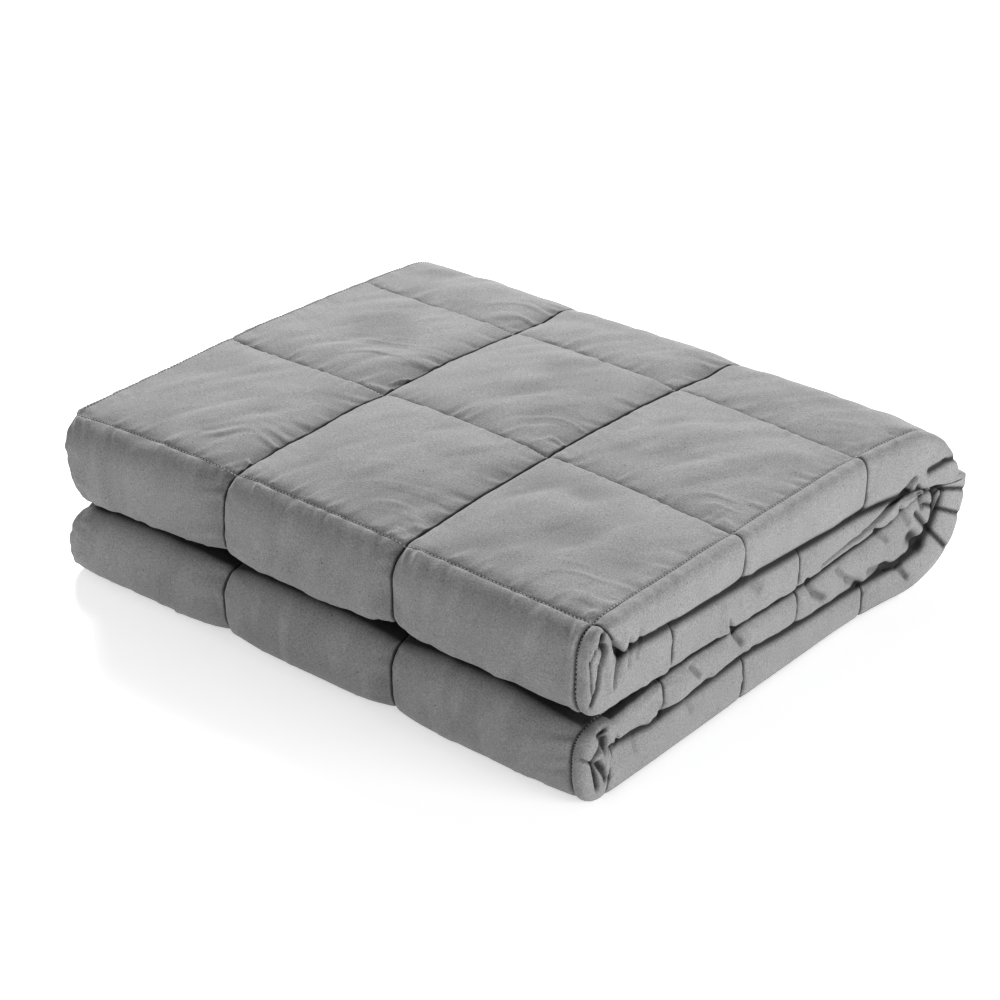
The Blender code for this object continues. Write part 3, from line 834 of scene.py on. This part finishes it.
def stations_across(step_top, step_side, near):
    """Places across the sheet with a line of points."""
    coarse = 0.016
    fine = NEAR_FINE if near else ()
    deep = NEAR_DEEP if near else ()
    return joined(
        [-HEM, 0.0],
        spread(0.0, SQUARE, coarse), spread(SQUARE, 2 * SQUARE, coarse),
        spread(2 * SQUARE, RIGHT_BEND_START - 0.03, coarse),
        spread(RIGHT_BEND_START - 0.03, RIGHT_BEND_START, 0.003),
        spread(RIGHT_BEND_START, RIGHT_BEND_END, step_side, (), NEAR_FINE),
        spread(3 * SQUARE, 4 * SQUARE, step_top, fine, deep),
        spread(4 * SQUARE, 5 * SQUARE, step_top, deep, deep),
        spread(5 * SQUARE, 6 * SQUARE, step_top, deep, fine),
        spread(LEFT_BEND_START, LEFT_BEND_END, 2 * step_side),
        spread(LEFT_BEND_END, LEFT_BEND_END + RAMP, 0.008),
        spread(LEFT_BEND_END + RAMP, 7 * SQUARE, coarse), spread(7 * SQUARE, WIDTH, coarse),
        [WIDTH, WIDTH + HEM])


def stations_along(row, step):
    places = [spread(row * SQUARE, (row + 1) * SQUARE, step, NEAR_FINE, NEAR_FINE)]
    if row == 0:
        places.append([-HEM])
    if row == ROWS - 1:
        places.append([LENGTH + HEM])
    return joined(*places)


def zip_rows(faces, fine, coarse, fine_places, coarse_places):
    """Triangles between a finely and a coarsely divided edge of the same run."""
    at = 0
    for index in range(len(coarse) - 1):
        while at < len(fine) - 1 and fine_places[at + 1] <= coarse_places[index + 1] + 1e-9:
            faces.append((fine[at], fine[at + 1], coarse[index]))
            at += 1
        faces.append((fine[at], coarse[index + 1], coarse[index]))


def grid_faces(numbers):
    a, b = numbers[:-1, :-1].ravel(), numbers[:-1, 1:].ravel()
    c, d = numbers[1:, 1:].ravel(), numbers[1:, :-1].ravel()
    return np.stack([a, b, c, d], axis=1).tolist()


def every(places, step):
    """A coarse choice of the places, with both ends."""
    kept = [0]
    for index in range(1, len(places)):
        if places[index] - places[kept[-1]] >= step or index == len(places) - 1:
            kept.append(index)
    return places[kept]


def new_piece(name, points, faces, sheet, painted_shade):
    """An object of the points and faces, with its places on the sheet and its painted shade."""
    data = bpy.data.meshes.new(name)
    data.from_pydata(points.tolist(), [], faces)
    corners = np.zeros(len(data.loops), dtype=np.int32)
    data.loops.foreach_get("vertex_index", corners)
    layer = data.uv_layers.new(name="sheet")
    layer.data.foreach_set("uv", (sheet[corners] / SQUARE).ravel())
    mesh = bmesh.new()
    mesh.from_mesh(data)
    bmesh.ops.recalc_face_normals(mesh, faces=mesh.faces)
    mesh.to_mesh(data)
    mesh.free()
    data.attributes.new("painted_shade", "FLOAT", "POINT").data.foreach_set("value", painted_shade.ravel())
    data.shade_smooth()
    piece = bpy.data.objects.new(name, data)
    bpy.context.scene.collection.objects.link(piece)
    return piece


def closed_body(name, u, v):
    """A row of squares as one closed body: skin, lining and the walls between."""
    grid_u, grid_v = np.meshgrid(u, v)
    outer, _, painted_shade = skin(grid_u, grid_v)
    coarse_u, coarse_v = every(u, LINING_STEP), every(v, LINING_STEP)
    lining_u, lining_v = np.meshgrid(coarse_u, coarse_v)
    hem = (lining_u < 0) | (lining_u > WIDTH)
    inner = fold(lining_u, lining_v, np.where(hem, HEM_DRAW / 2, 0.0), outer=False)
    count = grid_u.size
    outer_numbers = np.arange(count).reshape(grid_u.shape)
    inner_numbers = count + np.arange(lining_u.size).reshape(lining_u.shape)
    faces = grid_faces(outer_numbers) + grid_faces(inner_numbers)
    for row in (0, -1):
        zip_rows(faces, outer_numbers[row].tolist(), inner_numbers[row].tolist(), u, coarse_u)
    for column in (0, -1):
        zip_rows(faces, outer_numbers[:, column].tolist(), inner_numbers[:, column].tolist(),
                 v, coarse_v)
    points = np.concatenate([outer.reshape(-1, 3), inner.reshape(-1, 3)])
    sheet = np.stack([np.concatenate([grid_u.ravel(), lining_u.ravel()]),
                      np.concatenate([grid_v.ravel(), lining_v.ravel()])], axis=1)
    painted_shade = np.concatenate([painted_shade.ravel(), np.full(lining_u.size, LINING_PAINTED_SHADE)])
    piece = new_piece(name, points, faces, sheet, painted_shade)
    piece.data.set_sharp_from_angle(angle=SHARP_ANGLE)
    return piece


# ------------------------------------------------------------------- stitches

STITCHES_PER_SQUARE = 50
STITCH_SHARE = 0.72         # of its pitch that a stitch covers
STITCH_RADIUS = 0.42 * MM
STITCH_SIDES = 5
STITCH_RINGS = ((0.0, 0.35, -0.35), (0.25, 1.0, 0.45), (0.75, 1.0, 0.45), (1.0, 0.35, -0.35))


def stitch_row(start_u, start_v, end_u, end_v):
    """Points and faces of the stitches on a straight run of the sheet."""
    run = math.hypot(end_u - start_u, end_v - start_v)
    count = int(round(run / SQUARE * STITCHES_PER_SQUARE))
    starts = (np.arange(count) + (1 - STITCH_SHARE) / 2) / count
    along = np.array([ring[0] for ring in STITCH_RINGS])
    share = starts[:, None] + along[None, :] * STITCH_SHARE / count
    u, v = blend(start_u, end_u, share), blend(start_v, end_v, share)
    centre, normal, _ = skin(u, v)
    forward = unit(np.gradient(centre, axis=1))
    aside = unit(np.cross(forward, normal))
    lift = np.array([ring[2] for ring in STITCH_RINGS])[None, :, None] * MM
    radius = np.array([ring[1] for ring in STITCH_RINGS])[None, :, None, None] * STITCH_RADIUS
    turn = np.arange(STITCH_SIDES) * 2 * math.pi / STITCH_SIDES
    ring = (np.cos(turn)[:, None] * aside[:, :, None, :]
            + np.sin(turn)[:, None] * normal[:, :, None, :])
    points = (centre + normal * lift)[:, :, None, :] + ring * radius
    points[..., 2] = np.maximum(points[..., 2], 0.0)
    numbers = np.arange(points.size // 3).reshape(points.shape[:3])
    faces = []
    for side in range(STITCH_SIDES):
        after = (side + 1) % STITCH_SIDES
        for level in range(len(STITCH_RINGS) - 1):
            faces += np.stack([numbers[:, level, side], numbers[:, level, after],
                               numbers[:, level + 1, after], numbers[:, level + 1, side]],
                              axis=1).tolist()
    faces += numbers[:, 0].tolist() + numbers[:, -1].tolist()
    sheet = np.stack([np.broadcast_to(part[:, :, None], points.shape[:3]).ravel()
                      for part in (u, v)], axis=1)
    return points.reshape(-1, 3), faces, sheet


def stitches(name, runs):
    points, faces, sheets, count = [], [], [], 0
    for run in runs:
        more_points, more_faces, sheet = stitch_row(*run)
        faces += [[number + count for number in face] for face in more_faces]
        points.append(more_points)
        sheets.append(sheet)
        count += len(more_points)
    return new_piece(name, np.concatenate(points), faces, np.concatenate(sheets), np.ones(count))


# ------------------------------------------------------------------- materials

def shaded(colour, share):
    return (colour[0] * share, colour[1] * share, colour[2] * share, 1.0)


def noise_node(tree, vector, scale, detail):
    noise = tree.nodes.new("ShaderNodeTexNoise")
    noise.inputs["Scale"].default_value = scale
    noise.inputs["Detail"].default_value = detail
    tree.links.new(vector, noise.inputs["Vector"])
    return noise.outputs["Fac"]


def ramp_node(tree, value, stops):
    ramp = tree.nodes.new("ShaderNodeValToRGB")
    for element, (position, colour) in zip(ramp.color_ramp.elements, stops):
        element.position = position
        element.color = colour
    tree.links.new(value, ramp.inputs["Fac"])
    return ramp.outputs["Color"]


def times_node(tree, first, second):
    mix = tree.nodes.new("ShaderNodeMix")
    mix.data_type = "RGBA"
    mix.blend_type = "MULTIPLY"
    mix.inputs["Factor"].default_value = 1.0
    tree.links.new(first, mix.inputs[6])
    tree.links.new(second, mix.inputs[7])
    return mix.outputs[2]


def weave_node(tree, sheet, direction):
    wave = tree.nodes.new("ShaderNodeTexWave")
    wave.wave_type = "BANDS"
    wave.bands_direction = direction
    wave.inputs["Scale"].default_value = 27.0
    wave.inputs["Distortion"].default_value = 0.8
    wave.inputs["Detail"].default_value = 1.0
    tree.links.new(sheet, wave.inputs["Vector"])
    return wave.outputs["Fac"]


def cloth_material():
    """Matt brushed cloth: fine weave and grain, soft clouding, a few specks of lint and painted
    shade.
    """
    material = bpy.data.materials.new("grey_cloth_woven")
    material.use_nodes = True
    tree = material.node_tree
    shader = tree.nodes["Principled BSDF"]
    shader.inputs["Roughness"].default_value = 0.92
    shader.inputs["Sheen Weight"].default_value = 0.10
    shader.inputs["Sheen Roughness"].default_value = 0.4
    shader.inputs["Specular IOR Level"].default_value = 0.12
    place = tree.nodes.new("ShaderNodeTexCoord")
    grain = noise_node(tree, place.outputs["Object"], 1100.0, 4.0)
    cloud = noise_node(tree, place.outputs["Object"], 45.0, 3.0)
    lint = noise_node(tree, place.outputs["Object"], 620.0, 0.0)
    grain_colour = ramp_node(tree, grain, [(0.34, shaded(GREY, 0.77)), (0.66, shaded(GREY, 1.23))])
    cloud_colour = ramp_node(tree, cloud, [(0.3, shaded((1, 1, 1), 0.95)),
                                           (0.7, shaded((1, 1, 1), 1.05))])
    lint_colour = ramp_node(tree, lint, [(0.145, shaded((1, 1, 1), 0.45)),
                                         (0.165, shaded((1, 1, 1), 1.0))])
    # Painted shade: the colour is darkened by the shade painted on the mesh, down to 0.03 of it
    painted_shade = tree.nodes.new("ShaderNodeAttribute")
    painted_shade.attribute_name = "painted_shade"
    painted_shade_colour = ramp_node(tree, painted_shade.outputs["Fac"], [(0.0, shaded((1, 1, 1), 0.03)),
                                                          (1.0, shaded((1, 1, 1), 1.0))])
    colour = times_node(tree, times_node(tree, grain_colour, cloud_colour), lint_colour)
    colour = times_node(tree, colour, painted_shade_colour)
    tree.links.new(colour, shader.inputs["Base Color"])
    weave = tree.nodes.new("ShaderNodeMath")
    weave.operation = "ADD"
    tree.links.new(weave_node(tree, place.outputs["UV"], "X"), weave.inputs[0])
    tree.links.new(weave_node(tree, place.outputs["UV"], "Y"), weave.inputs[1])
    weave_bump = tree.nodes.new("ShaderNodeBump")
    weave_bump.inputs["Strength"].default_value = 0.10
    weave_bump.inputs["Distance"].default_value = 0.0002
    tree.links.new(weave.outputs[0], weave_bump.inputs["Height"])
    grain_bump = tree.nodes.new("ShaderNodeBump")
    grain_bump.inputs["Strength"].default_value = 0.35
    grain_bump.inputs["Distance"].default_value = 0.0004
    tree.links.new(grain, grain_bump.inputs["Height"])
    tree.links.new(weave_bump.outputs["Normal"], grain_bump.inputs["Normal"])
    tree.links.new(grain_bump.outputs["Normal"], shader.inputs["Normal"])
    return material


def thread_material():
    material = bpy.data.materials.new("grey_cloth_thread")
    material.use_nodes = True
    tree = material.node_tree
    shader = tree.nodes["Principled BSDF"]
    shader.inputs["Roughness"].default_value = 0.6
    shader.inputs["Specular IOR Level"].default_value = 0.3
    place = tree.nodes.new("ShaderNodeTexCoord")
    twist = noise_node(tree, place.outputs["Object"], 2500.0, 2.0)
    colour = ramp_node(tree, twist, [(0.3, (0.26, 0.26, 0.262, 1)), (0.7, (0.42, 0.42, 0.422, 1))])
    tree.links.new(colour, shader.inputs["Base Color"])
    return material


def register(piece, material):
    piece.data.materials.append(material)
    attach(piece, "root")
    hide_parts("blanket")


# Steps of the mesh in mm: over the squares, round the right end and along the
# length, and whether the stitch lines over the squares get closer points
SHOWN = (1.45, 0.75, 1.0, True)
SECOND = (1.9, 0.8, 1.1, True)
BEHIND = (3.6, 0.9, 1.05, True)
TUCKED = (12.0, 0.85, 1.15, False)
ROW_DETAIL = [TUCKED, TUCKED, SHOWN, SHOWN, SHOWN, SECOND,
              BEHIND, BEHIND, BEHIND, SHOWN, TUCKED, TUCKED]

CLOTH = cloth_material()
THREAD = thread_material()
for row_number, (top_step, side_step, long_step, near_lines) in enumerate(ROW_DETAIL):
    body = closed_body(f"blanket_row_{row_number + 1:02d}",
                       stations_across(top_step * MM, side_step * MM, near_lines),
                       stations_along(row_number, long_step * MM))
    register(body, CLOTH)

ACROSS_RUNS = [(3 * SQUARE, line * SQUARE, 6 * SQUARE, line * SQUARE) for line in range(3, 10)]
RIGHT_END_RUN = (3 * SQUARE, SQUARE, 3 * SQUARE, 11 * SQUARE)
LEFT_END_RUN = (6 * SQUARE, 3 * SQUARE, 6 * SQUARE, 9 * SQUARE)
register(stitches("blanket_stitches_across", ACROSS_RUNS), THREAD)
register(stitches("blanket_stitches_ends", [RIGHT_END_RUN, LEFT_END_RUN]), THREAD)


# ---------------------------------------------------------- camera, light, floor

FLOOR_HALF = 6.0
FLOOR_DROP = 0.0004         # keeps the floor just clear of the underside

# Lights: azimuth (0 is in front of the pack) and elevation in degrees, distance and
# size in metres, power in watts
LIGHTS = (
    ("key", 226, 33, 4.2, 1.6, 325),
    ("front", 340, 45, 3.5, 2.0, 13),
    ("fill", 96, 14, 3.2, 1.7, 86),
)


def add_camera():
    right, up, back = [Vector(axis) for axis in view_axes()]
    data = bpy.data.cameras.new("camera")
    data.sensor_width = SENSOR
    data.lens = FOCAL_PIXELS * SENSOR / IMAGE_WIDTH
    camera = bpy.data.objects.new("camera", data)
    rotation = Matrix((right, up, back)).transposed()
    camera.matrix_world = Matrix.Translation(Vector(CAMERA_PLACE)) @ rotation.to_4x4()
    bpy.context.scene.collection.objects.link(camera)
    bpy.context.scene.camera = camera


def add_area(name, azimuth, elevation, distance, size, power):
    """A soft square light that looks at the pack; azimuth 0 is in front of it."""
    turn, lift = math.radians(azimuth), math.radians(elevation)
    away = Vector((math.sin(turn) * math.cos(lift), -math.cos(turn) * math.cos(lift),
                   math.sin(lift)))
    data = bpy.data.lights.new(name, "AREA")
    data.shape = "SQUARE"
    data.size = size
    data.energy = power
    light = bpy.data.objects.new(name, data)
    light.location = away * distance
    light.rotation_euler = away.to_track_quat("Z", "Y").to_euler()
    bpy.context.scene.collection.objects.link(light)


def add_floor():
    data = bpy.data.meshes.new("floor")
    half = FLOOR_HALF
    data.from_pydata([(-half, -half, 0), (half, -half, 0), (half, half, 0), (-half, half, 0)],
                     [], [(0, 1, 2, 3)])
    floor = bpy.data.objects.new("floor", data)
    floor.location.z = -FLOOR_DROP
    bpy.context.scene.collection.objects.link(floor)
    material = bpy.data.materials.new("pale_floor")
    material.use_nodes = True
    shader = material.node_tree.nodes["Principled BSDF"]
    shader.inputs["Base Color"].default_value = (0.9, 0.9, 0.9, 1)
    shader.inputs["Roughness"].default_value = 0.9
    shader.inputs["Emission Color"].default_value = (1, 1, 1, 1)
    shader.inputs["Emission Strength"].default_value = 0.50
    data.materials.append(material)


def add_world():
    world = bpy.data.worlds.new("studio")
    world.use_nodes = True
    background = world.node_tree.nodes["Background"]
    background.inputs["Color"].default_value = (1, 1, 1, 1)
    background.inputs["Strength"].default_value = 0.30
    bpy.context.scene.world = world


add_camera()
for light_row in LIGHTS:
    add_area(*light_row)
add_floor()
add_world()
bpy.context.scene.view_settings.view_transform = "Standard"
